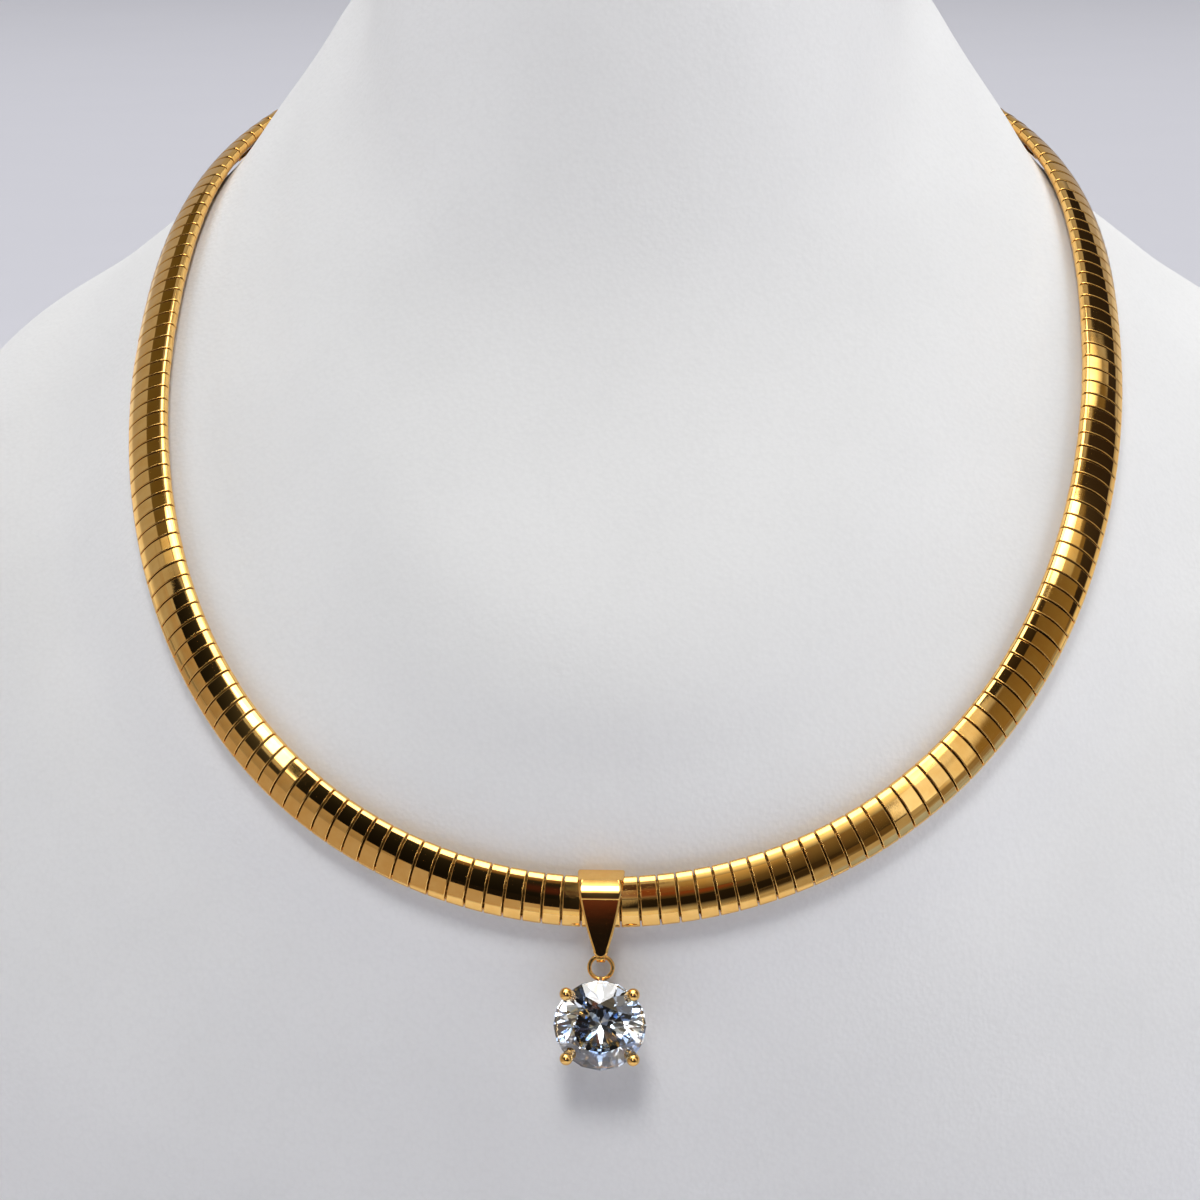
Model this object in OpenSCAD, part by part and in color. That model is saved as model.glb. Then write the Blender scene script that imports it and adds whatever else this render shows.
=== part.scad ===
// Omega chain necklace with a solitaire pendant, on a plain neck bust
// Millimetres, +Z up, the bust faces -Y, origin at the middle of its flat base

/* [Chain] */
// Width of the domed plates
chain_w = 6; // [5:0.5:6.5]
// Radius of the plates' domed face
dome_r = 5.6; // [5:0.1:7]
// Radius of the plates' rolled edges
edge_r = 0.8; // [0.7:0.05:0.9]
// Thickness of the plates' sheet
sheet_t = 0.35; // [0.25:0.05:0.4]
// Number of plates on each side of the bail
plates_per_side = 96; // [90:1:98]
// Gap between neighbouring plates
plate_gap = 0.14; // [0.1:0.01:0.2]
// Slot that the rolled edges leave open underneath
slot_w = 3.4; // [3:0.1:4]
// Length of the clasp at the nape
clasp_l = 12.6; // [11:0.2:15]

/* [Lie] */
// Gap between the plates and the bust
lay_gap = 0.45; // [0.45:0.05:0.6]
// Further gap under the front of the chain, where the bail passes
bail_room = 0.65; // [0.65:0.05:1]

/* [Bail] */
// Width of the bail at its top
bail_w = 5.4; // [5:0.1:6]
// Radius of the tongue's round tip
tip_r = 0.88; // [0.85:0.01:0.9]
// Thickness of the front leaf
leaf_t = 0.5; // [0.4:0.05:0.55]
// Thickness of the back leaf
back_t = 0.4; // [0.35:0.05:0.45]
// Height of the eye's axis below the middle of the chain
eye_drop = 6.35; // [6.2:0.05:6.8]
// Radius of the eye's hole
eye_hole_r = 0.52; // [0.5:0.01:0.55]
// Radius of the eye
eye_r = 0.9; // [0.85:0.05:0.95]

/* [Pendant] */
// Diameter of the stone
stone_d = 10.7; // [10:0.1:11]
// Height of the stone's middle below the eye's axis
stone_drop = 7.55; // [7.5:0.05:8]
// Distance of the stone's girdle in front of the eye's axis
stone_forward = 2.5; // [2.4:0.05:2.8]
// Crown height as a share of the stone's diameter
crown_share = 0.15; // [0.13:0.005:0.165]
// Pavilion depth as a share of the stone's diameter
pavilion_share = 0.43; // [0.42:0.005:0.44]
// Table width as a share of the stone's diameter
table_share = 0.57; // [0.54:0.01:0.6]
// Radius of the jump ring, to the middle of its wire
ring_r = 1.35; // [1.3:0.05:1.4]
// Radius of the jump ring's wire
ring_wire_r = 0.25; // [0.22:0.01:0.27]
// Radius of the balls at the ends of the prongs
ball_r = 0.76; // [0.7:0.02:0.8]
// Radius of the prongs' wire
prong_r = 0.42; // [0.4:0.02:0.5]

/* [Bust] */
// Segments round the bust
bust_segments = 56; // [48:4:60]
// Rings from one section of the bust to the next
bust_rings = 3; // [2:1:4]
// Radius of the neck's rounded top edge
neck_edge_r = 3; // [2:0.5:4]
// How much fuller than an ellipse the front quarters of the sections are
front_full = 0.16; // [0:0.02:0.24]
// How much fuller than an ellipse the back quarters of the sections are
back_full = 0.32; // [0:0.02:0.4]

/* [Hidden] */
gold = [0.86, 0.66, 0.28];
gold_dark = [0.62, 0.45, 0.18];
pale = [0.92, 0.92, 0.93];
clear = [0.8, 0.9, 1.0, 0.7];

// Each section of the bust is a closed loop through a front, a side and a back point
// Columns: front y, front z, side x, side y, side z, back y, back z
bust_sections = [
    [-45.0,   0,  76.0,  0.0,   0.0, 45.0,   0],    // flat base
    [-57.0,  14,  90.0,  2.0,  32.0, 50.0,  28],    // lower chest
    [-61.0,  30, 100.0,  5.0,  72.0, 56.0,  66],    // flank
    [-61.8,  50, 103.0,  9.0, 114.0, 61.0, 110],    // shoulder end
    [-62.0,  67,  86.0,  9.5, 135.5, 63.5, 142],    // shoulder
    [-62.0,  81,  72.0,  6.0, 140.5, 61.0, 163],    // slope to the neck
    [-63.0,  95,  58.0, -6.0, 148.5, 56.2, 179],    // where the chain lies
    [-62.0, 108,  51.0,  1.0, 156.5, 53.5, 190],    // above the chain
    [-54.5, 125,  43.5,  9.0, 168.0, 51.0, 200],    // root of the neck
    [-22.0, 160,  34.0, 17.0, 188.5, 49.0, 214],    // throat
    [ -6.0, 214,  31.6, 20.0, 223.5, 46.0, 233]];   // top of the neck
chain_row = 6;
last_row = len(bust_sections) - 1;
small = 0.002;

// A smooth column value between the sections, by the cubic through four neighbours
function cubic(a, b, c, d, t) =
    (2 * b + (c - a) * t + (2 * a - 5 * b + 4 * c - d) * t * t + (3 * b - a - 3 * c + d) * t * t * t) / 2;
function row_or_beyond(i) =
    i < 0 ? 2 * bust_sections[0] - bust_sections[1]
    : i > last_row ? 2 * bust_sections[last_row] - bust_sections[last_row - 1]
    : bust_sections[i];
function section_at(v) =
    let (i = min(floor(v), last_row - 1))
    cubic(row_or_beyond(i - 1), bust_sections[i], bust_sections[i + 1], row_or_beyond(i + 2), v - i);

// The loop of one section: a is the turn from the front, towards +X
function blend3(front, side, back, c) = side - (back - front) / 2 * c + ((front + back) / 2 - side) * c * c;
function fullness(c) = 1 + (c > 0 ? front_full : back_full) * c * c;
function loop_point(s, a) =
    [s[2] * sin(a) * fullness(cos(a)), blend3(s[0], s[3], s[5], cos(a)), blend3(s[1], s[4], s[6], cos(a))];
function skin(v, a) = loop_point(section_at(v), a);
function unit(p) = p / norm(p);
function skin_normal(v, a) =
    unit(cross(skin(v, a + 0.1) - skin(v, a - 0.1), skin(v + small, a) - skin(v - small, a)));

// The chain lies on the bust along one section, a little off it
function lift(a) = lay_gap + bail_room * pow(max(cos(a), 0), 8);
function lie(a) = skin(chain_row, a) + lift(a) * skin_normal(chain_row, a);

// Turn for a length along the chain, by summing short steps from the front
steps = 360;
step_lengths = [for (i = [0 : steps - 1]) norm(lie((i + 1) * 180 / steps) - lie(i * 180 / steps))];
lengths = [for (i = 0, sum = 0; i <= steps; sum = sum + (i < steps ? step_lengths[i] : 0), i = i + 1) sum];
half_length = lengths[steps];
length_to_turn = [for (i = [0 : steps]) [lengths[i], i * 180 / steps]];
function turn_at(s) = sign(s) * lookup(abs(s), length_to_turn);
pitch = (half_length - clasp_l / 2) / plates_per_side;

// The chain's own directions at a length s from the front: along, away from the bust, and across
function at(s) = lie(turn_at(s));
function along(s) = unit(at(s + 0.05) - at(s - 0.05));
function away(s) =
    let (n = skin_normal(chain_row, turn_at(s)), t = along(s)) unit(n - (n * t) * t);
function across(s) = cross(away(s), along(s));
function chain_frame(s) =
    let (b = across(s), n = away(s), t = along(s), o = at(s))
    [[b[0], n[0], t[0], o[0]], [b[1], n[1], t[1], o[1]], [b[2], n[2], t[2], o[2]], [0, 0, 0, 1]];
// How fast the chain turns within the bust's surface, in radians a millimetre
function bend(s) = (along(s + 0.5) - along(s - 0.5)) * across(s);

// Height of the dome's centre and of the plate's top above the plate's underside
dome_drop = sqrt(pow(dome_r - edge_r, 2) - pow(chain_w / 2 - edge_r, 2));
plate_h = edge_r + dome_r - dome_drop;
edge_x = chain_w / 2 - edge_r;

// Cross-section of a plate, shrunk by t all round: a dome that runs into two rolled edges
module dome_outline(t) {
    dome_mid = [0, edge_r - dome_drop];
    wedge = 2 * [edge_x, dome_drop];
    intersection() {
        translate(dome_mid) circle(dome_r - t);
        polygon([dome_mid, dome_mid + wedge, dome_mid + [-wedge[0], wedge[1]]]);
        translate([-edge_x, t]) square([2 * edge_x, dome_r]);
    }
    for (side = [-1, 1]) translate([side * edge_x, edge_r]) circle(edge_r - t);
    translate([-edge_x, t]) square([2 * edge_x, 2 * (edge_r - t)]);
}

// Sheet of a plate: the outline, hollow, and open underneath
module plate_section() {
    difference() {
        dome_outline(0);
        dome_outline(sheet_t);
        translate([-slot_w / 2, -1]) square([slot_w, 1 + edge_r]);
    }
}

// A plate is wider at the loop's outside, so that the gap to its neighbour is even
module plate(bend_here) {
    half_w = chain_w / 2 + 1;
    inside = (pitch * (1 - bend_here * half_w) - plate_gap) / 2;
    outside = (pitch * (1 + bend_here * half_w) - plate_gap) / 2;
    intersection() {
        translate([0, 0, -pitch]) linear_extrude(2 * pitch) plate_section();
        rotate([-90, 0, 0]) translate([0, 0, -1]) linear_extrude(plate_h + 2)
            polygon([[-half_w, -outside], [half_w, -inside], [half_w, inside], [-half_w, outside]]);
    }
}

module omega_plates() {
    color(gold) for (side = [-1, 1], i = [0 : plates_per_side - 1]) {
        s = side * (i + 0.5) * pitch;
        multmatrix(chain_frame(s)) plate(bend(s));
    }
}

// Faces of a tube of rings with n points each, and its two ends
function tube_walls(rings, n) = [for (i = [0 : rings - 2], j = [0 : n - 1])
    [i * n + j, (i + 1) * n + j, (i + 1) * n + (j + 1) % n, i * n + (j + 1) % n]];
function first_end(n) = [for (j = [0 : n - 1]) j];
function last_end(rings, n) = [for (j = [n - 1 : -1 : 0]) (rings - 1) * n + j];

// Cross-section of the core, across and away, clear of the sheet
core_section = [[-1.9, 0.55], [1.9, 0.55], [2.3, 0.68], [2.3, 1.0],
    [1.3, 1.4], [-1.3, 1.4], [-2.3, 1.0], [-2.3, 0.68]];
core_rings = 121;
// Length of core that is tucked into each end of the clasp
core_tuck = 1.6;
module mesh_core() {
    n = len(core_section);
    reach = half_length - clasp_l / 2 + core_tuck;
    function ring(s) = [for (p = core_section) at(s) + p[0] * across(s) + p[1] * away(s)];
    points = [for (i = [0 : core_rings - 1]) each ring(-reach + 2 * reach * i / (core_rings - 1))];
    faces = concat(tube_walls(core_rings, n), [first_end(n), last_end(core_rings, n)]);
    color(gold_dark) polyhedron(points, faces, convexity = 10);
}

// One straight box across the nape, with a pocket for the core in each end
// It is set a little towards the bust, so that its ends stand hardly higher than the plates
clasp_sink = 0.15;
pocket_play = 0.25;
pocket_section = [for (p = core_section)
    p + pocket_play * [sign(p[0]), p[1] < edge_r ? -1 : 1]];
module clasp() {
    box_half = clasp_l / 2 - plate_gap;
    color(gold) difference() {
        multmatrix(chain_frame(half_length)) translate([0, -clasp_sink, -box_half])
            linear_extrude(2 * box_half) dome_outline(0);
        for (side = [-1, 1]) multmatrix(chain_frame(side * (half_length - clasp_l / 2)))
            mirror([0, 0, side < 0 ? 1 : 0]) translate([0, 0, -1])
                linear_extrude(1 + core_tuck + pocket_play) polygon(pocket_section);
    }
}

// Side view of the bail, forward and up from the middle of the chain's underside
lean = 7.35;            // of the flat face
brow_turn = 3.4;        // where the face meets the rounded brow
top_slope = 14.8;       // of the strip on top
face_top_z = 0.85;
brow_r = 3.07;
crest = [0.15, 2.84];   // middle of the bend at the back of the top
crest_r = 0.8;
back_foot_z = -2.5;
eye = [1.07, -eye_drop];
face_out = [cos(lean), -sin(lean)];
face_foot = eye + eye_r * face_out;
face_top = face_foot + (face_top_z - face_foot[1]) * [tan(lean), 1];
brow_mid = face_top - brow_r * [cos(lean + brow_turn), -sin(lean + brow_turn)];
top_back = crest + crest_r * [sin(top_slope), cos(top_slope)];
back_p = crest[0] - crest_r;
eye_w = 1;

// Solid side of the fold: body, rounded brow and the bend at the back of the top
module fold_body() {
    polygon([face_top, face_foot, eye, eye - [eye_r - 0.02, 0], [back_p, back_foot_z],
        [back_p, crest[1]], [crest[0] + 1, crest[1]]]);
}
module fold_brow() {
    intersection() {
        translate(brow_mid) circle(brow_r);
        polygon([[crest[0], face_top_z], [brow_r + 1, face_top_z],
            top_back + 4 * [cos(top_slope), -sin(top_slope)], top_back]);
    }
}
// Inside of the fold, clear of the plates, from the face down and round
module fold_inside() {
    inner_face = face_top - leaf_t * face_out;
    inner_foot_z = eye[1] + eye_r + 0.25;
    inner_foot = inner_face + (inner_foot_z - inner_face[1]) * [tan(lean), 1];
    inner_back = back_p + back_t;
    polygon([inner_face, inner_foot, [0.45, inner_foot_z], [inner_back, back_foot_z + 0.1],
        [inner_back, 2.87], [0.1, 3.19], [0.9, 3.19], [1.5, 2.96], [2.1, 2.15], [2.4, 1.4]]);
}

// Front view of the bail: two long arcs that taper to a round tip
tongue_top = 3.7;
tip_z = -5.55;
tip_step = 0.03;        // the side arcs end this far inside the tip's own arc
side_r = 43;
function arc_mid(a, b, r) =
    (a + b) / 2 + sqrt(r * r - (b - a) * (b - a) / 4) * unit([(b - a)[1], -(b - a)[0]]);
module tongue_outline() {
    side_mid = arc_mid([bail_w / 2, tongue_top], [tip_r - tip_step, tip_z], side_r);
    intersection() {
        translate(side_mid) circle(side_r, $fn = 400);
        translate([-side_mid[0], side_mid[1]]) circle(side_r, $fn = 400);
        union() {
            translate([-bail_w / 2, tip_z]) square([bail_w, tongue_top - tip_z]);
            translate([0, tip_z]) circle(tip_r);
        }
    }
}
// Turns a side view into place, with its thickness along X
module side_view(width) {
    rotate([90, 0, -90]) translate([0, 0, -width / 2]) linear_extrude(width) children();
}
// A side view cut to the tongue's outline
module tongue_view() {
    intersection() {
        side_view(bail_w + 1) children();
        rotate([90, 0, 0]) translate([0, 0, -2]) linear_extrude(6) tongue_outline();
    }
}
module bail() {
    color(gold) translate(at(0)) difference() {
        union() {
            tongue_view() fold_body();
            tongue_view() fold_brow();
            tongue_view() translate(crest) circle(crest_r);
            side_view(eye_w) translate(eye) circle(eye_r);
        }
        side_view(bail_w + 1) fold_inside();
        side_view(bail_w + 1) translate(eye) circle(eye_hole_r);
    }
}

// The pendant hangs from the eye's axis; its stone faces forward, along its own Z
stone_r = stone_d / 2;
girdle_half = 0.0125 * stone_d;
crown_h = crown_share * stone_d;
pavilion_h = pavilion_share * stone_d;
seat_play = 0.1;
// Radius of the points where the crown's facets meet, and their height as a share of the crown's
star_share = 0.763;
star_rise = (1 - star_share * cos(22.5)) / (1 - table_share);
module pendant_frame() { translate(at(0) - [0, eye[0], eye_drop]) children(); }
module stone_frame() {
    pendant_frame() translate([0, -stone_forward, -stone_drop]) rotate([90, 0, 0]) children();
}

// Round brilliant: points by radius, number of 22.5 degree steps, and height
function brilliant_point(r, step, z) = [r * cos(22.5 * step), r * sin(22.5 * step), z];
module stone() {
    table_r = table_share * stone_r;
    star_z = girdle_half + star_rise * crown_h;
    lower_r = 0.22 * stone_r;
    lower_z = -girdle_half - pavilion_h * (1 - lower_r * cos(22.5) / stone_r);
    points = [
        for (k = [0 : 7]) brilliant_point(table_r, 2 * k, girdle_half + crown_h),
        for (k = [0 : 7]) brilliant_point(star_share * stone_r, 2 * k + 1, star_z),
        for (j = [0 : 15]) brilliant_point(stone_r, j, girdle_half),
        for (j = [0 : 15]) brilliant_point(stone_r, j, -girdle_half),
        for (k = [0 : 7]) brilliant_point(lower_r, 2 * k + 1, lower_z),
        [0, 0, -girdle_half - pavilion_h]];
    // Index of each kind of point
    function t(k) = (k + 8) % 8;
    function s(k) = 8 + (k + 8) % 8;
    function g(j) = 16 + j % 16;
    function h(j) = 32 + j % 16;
    function l(k) = 48 + (k + 8) % 8;
    culet = 56;
    faces = [
        [for (k = [7 : -1 : 0]) t(k)],
        for (k = [0 : 7]) each [
            [t(k), t(k + 1), s(k)], [t(k), s(k), g(2 * k), s(k - 1)],
            [s(k), g(2 * k + 1), g(2 * k)], [s(k), g(2 * k + 2), g(2 * k + 1)],
            [l(k), h(2 * k), h(2 * k + 1)], [l(k), h(2 * k + 1), h(2 * k + 2)],
            [culet, l(k - 1), h(2 * k), l(k)]],
        for (j = [0 : 15]) [h(j), g(j), g(j + 1), h(j + 1)]];
    color(clear) stone_frame() polyhedron(points, faces, convexity = 2);
}

// Room for the stone in its setting
module stone_room() {
    side = stone_r + 1.6 * seat_play;
    top = girdle_half + crown_h + seat_play;
    rotate_extrude() polygon([[0, -girdle_half - pavilion_h - 2 * seat_play],
        [side, -girdle_half], [side, girdle_half],
        [star_share * stone_r + seat_play, girdle_half + star_rise * crown_h + seat_play],
        [table_share * stone_r, top], [0, top]]);
}
module wire_ring(radius, wire_r) { rotate_extrude() translate([radius, 0]) circle(wire_r); }
// Straight round wire from one radius and height to another
module spoke(from, to, wire_r) {
    run = to - from;
    translate([from[0], 0, from[1]]) rotate([0, atan2(run[0], run[1]), 0])
        cylinder(h = norm(run), r = wire_r);
}

rail_wire_r = 0.3;
prong_foot = [2.2, -3.75];
prong_head = [stone_r + 0.15, 0.3];
ball_at = [stone_r + 0.1, 0.6];
upper_rail = [stone_r - 0.75, -1.05];
post_r = 0.35;
module setting() {
    color(gold) {
        pendant_frame() translate([0, 0, -ring_r]) rotate([90, 0, 0]) wire_ring(ring_r, ring_wire_r);
        stone_frame() difference() {
            union() {
                translate([0, 0, upper_rail[1]]) wire_ring(upper_rail[0], rail_wire_r);
                translate([0, 0, prong_foot[1]]) wire_ring(prong_foot[0], rail_wire_r);
                for (turn = [45 : 90 : 315]) rotate([0, 0, turn]) {
                    spoke(prong_foot, prong_head, prong_r);
                    translate([ball_at[0], 0, ball_at[1]]) sphere(ball_r);
                }
                // Post from the jump ring's foot to the upper rail
                translate([0, stone_drop - 2 * ring_r - 0.1, -stone_forward]) cylinder(h = 1.7, r = post_r);
            }
            stone_room();
        }
    }
}

// The top edge of the neck is rounded over, square to the slanting top
edge_rings = 4;
base_middle = [0, 0, 0];
module neck_bust() {
    n = bust_segments;
    body_rings = last_row * bust_rings + 1;
    rings = body_rings + edge_rings;
    top = bust_sections[last_row];
    top_middle = [0, (top[0] + top[5]) / 2, (top[1] + top[6]) / 2];
    top_up = unit([0, top[1] - top[6], top[5] - top[0]]);
    function edge_point(a, tilt) =
        let (p = loop_point(top, a), inward = unit(top_middle - p))
        p + neck_edge_r * ((1 - cos(tilt)) * inward + sin(tilt) * top_up);
    points = [
        for (i = [0 : body_rings - 1], j = [0 : n - 1]) skin(i / bust_rings, 360 * j / n),
        for (i = [1 : edge_rings], j = [0 : n - 1]) edge_point(360 * j / n, 90 * i / edge_rings),
        base_middle];
    base_fan = [for (j = [0 : n - 1]) [rings * n, j, (j + 1) % n]];
    faces = concat(tube_walls(rings, n), base_fan, [last_end(rings, n)]);
    color(pale) polyhedron(points, faces, convexity = 4);
}

neck_bust();
omega_plates();
mesh_core();
clasp();
bail();
setting();
stone();
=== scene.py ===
import math

import bmesh
import bpy
import numpy as np
from mathutils import Matrix, Vector


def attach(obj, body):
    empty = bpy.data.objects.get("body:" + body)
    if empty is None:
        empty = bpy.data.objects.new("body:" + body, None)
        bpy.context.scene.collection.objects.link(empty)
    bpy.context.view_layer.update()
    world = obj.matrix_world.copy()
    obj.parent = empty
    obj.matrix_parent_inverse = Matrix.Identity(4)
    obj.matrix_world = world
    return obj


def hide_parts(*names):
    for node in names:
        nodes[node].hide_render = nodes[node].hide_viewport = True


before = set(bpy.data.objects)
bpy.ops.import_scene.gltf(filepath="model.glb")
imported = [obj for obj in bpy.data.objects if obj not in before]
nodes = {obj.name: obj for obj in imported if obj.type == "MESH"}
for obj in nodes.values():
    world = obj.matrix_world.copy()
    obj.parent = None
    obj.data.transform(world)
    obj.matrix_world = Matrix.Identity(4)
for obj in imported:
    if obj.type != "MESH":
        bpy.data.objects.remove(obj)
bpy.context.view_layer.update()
scene = bpy.context.scene
MM = 0.001

# Driving sizes in millimetres, as in the part's source
CHAIN_W = 6.0
DOME_R = 5.6
EDGE_R = 0.8
SHEET_T = 0.35
PLATES_PER_SIDE = 96
PLATE_GAP = 0.14
SLOT_W = 3.4
CLASP_L = 12.6
LAY_GAP = 0.45
BAIL_ROOM = 0.65
BAIL_W = 5.4
TIP_R = 0.88
LEAF_T = 0.5
BACK_T = 0.4
EYE_DROP = 6.35
EYE_HOLE_R = 0.52
EYE_R = 0.9
STONE_D = 10.7
STONE_DROP = 7.55
STONE_FORWARD = 2.5
RING_R = 1.35
RING_WIRE_R = 0.25
BALL_R = 0.76
PRONG_R = 0.42
NECK_EDGE_R = 3.0

# Sections of the bust: front y, front z, side x, side y, side z, back y, back z
BUST_SECTIONS = np.array([
    [-45.0, 0, 76.0, 0.0, 0.0, 45.0, 0],
    [-57.0, 14, 90.0, 2.0, 32.0, 50.0, 28],
    [-61.0, 30, 100.0, 5.0, 72.0, 56.0, 66],
    [-61.8, 50, 103.0, 9.0, 114.0, 61.0, 110],
    [-62.0, 67, 86.0, 9.5, 135.5, 63.5, 142],
    [-62.0, 81, 72.0, 6.0, 140.5, 61.0, 163],
    [-63.0, 95, 58.0, -6.0, 148.5, 56.2, 179],
    [-62.0, 108, 51.0, 1.0, 156.5, 53.5, 190],
    [-54.5, 125, 43.5, 9.0, 168.0, 51.0, 200],
    [-22.0, 160, 34.0, 17.0, 188.5, 49.0, 214],
    [-6.0, 214, 31.6, 20.0, 223.5, 46.0, 233]])
FRONT_FULL = 0.16
BACK_FULL = 0.32
CHAIN_ROW = 6
LAST_ROW = len(BUST_SECTIONS) - 1

# Steps for slopes: in sections, in degrees of turn and in millimetres of chain
ROW_STEP = 0.002
TURN_STEP = 0.1
CHAIN_STEP = 0.05


# Shape of the bust and of the chain's path on it

def unit(p):
    """Vectors scaled to length 1."""
    return p / np.linalg.norm(p, axis=-1, keepdims=True)


def row_or_beyond(i):
    """Row i of the sections, carried on straight past either end."""
    if i < 0:
        return 2 * BUST_SECTIONS[0] - BUST_SECTIONS[1]
    if i > LAST_ROW:
        return 2 * BUST_SECTIONS[LAST_ROW] - BUST_SECTIONS[LAST_ROW - 1]
    return BUST_SECTIONS[i]


def section_at(v):
    """The section v rows up, on a smooth curve through the rows."""
    i = min(math.floor(v), LAST_ROW - 1)
    a, b, c, d = (row_or_beyond(i + k) for k in (-1, 0, 1, 2))
    t = v - i
    return (2 * b + (c - a) * t + (2 * a - 5 * b + 4 * c - d) * t ** 2 + (3 * b - a - 3 * c + d) * t ** 3) / 2


def blend3(front, side, back, c):
    """A value that goes from back over side to front as c, the cosine of the turn, goes from -1 to 1."""
    return side - (back - front) / 2 * c + ((front + back) / 2 - side) * c * c


def skin(v, a):
    """Points of the bust on section v, for turns a from the front in degrees."""
    s = section_at(v)
    turn = np.radians(np.asarray(a, float))
    c = np.cos(turn)
    fullness = 1 + np.where(c > 0, FRONT_FULL, BACK_FULL) * c * c
    x = s[2] * np.sin(turn) * fullness
    y = blend3(s[0], s[3], s[5], c)
    z = blend3(s[1], s[4], s[6], c)
    return np.stack([x, y, z], -1)


def skin_normal(v, a):
    """Outward normals of the bust at the points of skin."""
    round_it = skin(v, a + TURN_STEP) - skin(v, a - TURN_STEP)
    up_it = skin(v + ROW_STEP, a) - skin(v - ROW_STEP, a)
    return unit(np.cross(round_it, up_it))


def lie(a):
    """Points of the chain's underside over the bust, lifted in front to leave room for the bail."""
    lift = LAY_GAP + BAIL_ROOM * np.maximum(np.cos(np.radians(a)), 0) ** 8
    return skin(CHAIN_ROW, a) + lift[..., None] * skin_normal(CHAIN_ROW, a)


# Lengths along the chain from its front, one for each of these turns
TURNS = np.linspace(0, 180, 361)
LENGTHS = np.concatenate([[0], np.cumsum(np.linalg.norm(np.diff(lie(TURNS), axis=0), axis=1))])
HALF_LENGTH = LENGTHS[-1]
PITCH = (HALF_LENGTH - CLASP_L / 2) / PLATES_PER_SIDE


def turn_at(s):
    """The turn from the front, in degrees, s millimetres along the chain."""
    return np.sign(s) * np.interp(np.abs(s), LENGTHS, TURNS)


def at(s):
    """The place s millimetres along the chain from its front, towards +X."""
    return lie(turn_at(s))


def along(s):
    """Direction of the chain at s."""
    return unit(at(s + CHAIN_STEP) - at(s - CHAIN_STEP))


def away(s):
    """Direction out of the bust at s, square to the chain."""
    n, t = skin_normal(CHAIN_ROW, turn_at(s)), along(s)
    return unit(n - np.sum(n * t, -1, keepdims=True) * t)


def across(s):
    """Direction across the chain at s, upwards at its front."""
    return np.cross(away(s), along(s))


def bend(s):
    """Sideways curve of the chain, in radians a millimetre."""
    return float(np.dot(along(s + 0.5) - along(s - 0.5), across(s)))


ORIGIN = at(np.array(0.0))


# Meshes

def add_mesh(name, points, faces, material, smooth_angle=180.0, corner_normals=None, weld=0.0):
    """A mesh object from points in millimetres; edges sharper than smooth_angle stay crisp."""
    mesh = bpy.data.meshes.new(name)
    mesh.from_pydata((np.asarray(points, float) * MM).tolist(), [], faces)
    if weld:
        form = bmesh.new()
        form.from_mesh(mesh)
        bmesh.ops.remove_doubles(form, verts=form.verts, dist=weld * MM)
        bmesh.ops.recalc_face_normals(form, faces=form.faces)
        form.to_mesh(mesh)
        form.free()
    mesh.polygons.foreach_set("use_smooth", [True] * len(mesh.polygons))
    if corner_normals is not None:
        mesh.normals_split_custom_set(corner_normals)
    elif smooth_angle < 180:
        mesh.set_sharp_from_angle(angle=math.radians(smooth_angle))
    mesh.validate()
    mesh.materials.append(material)
    obj = bpy.data.objects.new(name, mesh)
    scene.collection.objects.link(obj)
    return obj


def grid_faces(rows, cols, wrap=True):
    """Quads between rows of cols points each."""
    return [(i * cols + j, (i + 1) * cols + j, (i + 1) * cols + (j + 1) % cols, i * cols + (j + 1) % cols)
            for i in range(rows - 1) for j in range(cols if wrap else cols - 1)]


def tube(path, radius, sides=20, closed=False):
    """Points and faces of a round wire along a path; radius is one number or one for each point."""
    path = np.asarray(path, float)
    n = len(path)
    radius = np.broadcast_to(radius, n)
    if closed:
        tangents = unit(np.roll(path, -1, 0) - np.roll(path, 1, 0))
    else:
        tangents = unit(np.gradient(path, axis=0))
    # Any direction will do here that no wire starts along
    side = unit(np.cross(tangents[0], [0.31, 0.11, 0.94]))
    rings = []
    for p, t, r in zip(path, tangents, radius):
        side = unit(side - side.dot(t) * t)
        other = np.cross(t, side)
        turn = np.linspace(0, 2 * math.pi, sides, endpoint=False)
        rings.append(p + r * (np.cos(turn)[:, None] * side + np.sin(turn)[:, None] * other))
    points = np.concatenate(rings)
    faces = grid_faces(n, sides)
    if closed:
        last = (n - 1) * sides
        # The sides of a closed wire meet again with the turn that they picked up on the way
        gaps = np.linalg.norm(points[:sides] - points[last], axis=1)
        shift = int(np.argmin(gaps))
        faces += [(last + j, (j + shift) % sides, (j + 1 + shift) % sides, last + (j + 1) % sides)
                  for j in range(sides)]
    else:
        faces += [tuple(range(sides))[::-1], tuple((n - 1) * sides + j for j in range(sides))]
    return points, faces


def ball(centre, radius, rows, cols):
    """Points and faces of a ball, in rows from its lowest point up."""
    tilt = np.linspace(0, math.pi, rows + 1)[1:-1]
    turn = np.linspace(0, 2 * math.pi, cols, endpoint=False)
    rings = [[math.sin(t) * math.cos(u), math.sin(t) * math.sin(u), -math.cos(t)] for t in tilt for u in turn]
    points = np.concatenate([np.array(rings), [[0, 0, -1], [0, 0, 1]]]) * radius + np.asarray(centre)
    count = len(tilt)
    south, north = count * cols, count * cols + 1
    faces = [f[::-1] for f in grid_faces(count, cols)]
    faces += [(south, (j + 1) % cols, j) for j in range(cols)]
    faces += [(north, (count - 1) * cols + j, (count - 1) * cols + (j + 1) % cols) for j in range(cols)]
    return points, faces


def join(parts):
    """One list of points and faces from several."""
    points, faces, start = [], [], 0
    for p, f in parts:
        points.append(np.asarray(p, float))
        faces += [tuple(i + start for i in face) for face in f]
        start += len(p)
    return np.concatenate(points), faces


# Materials

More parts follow.
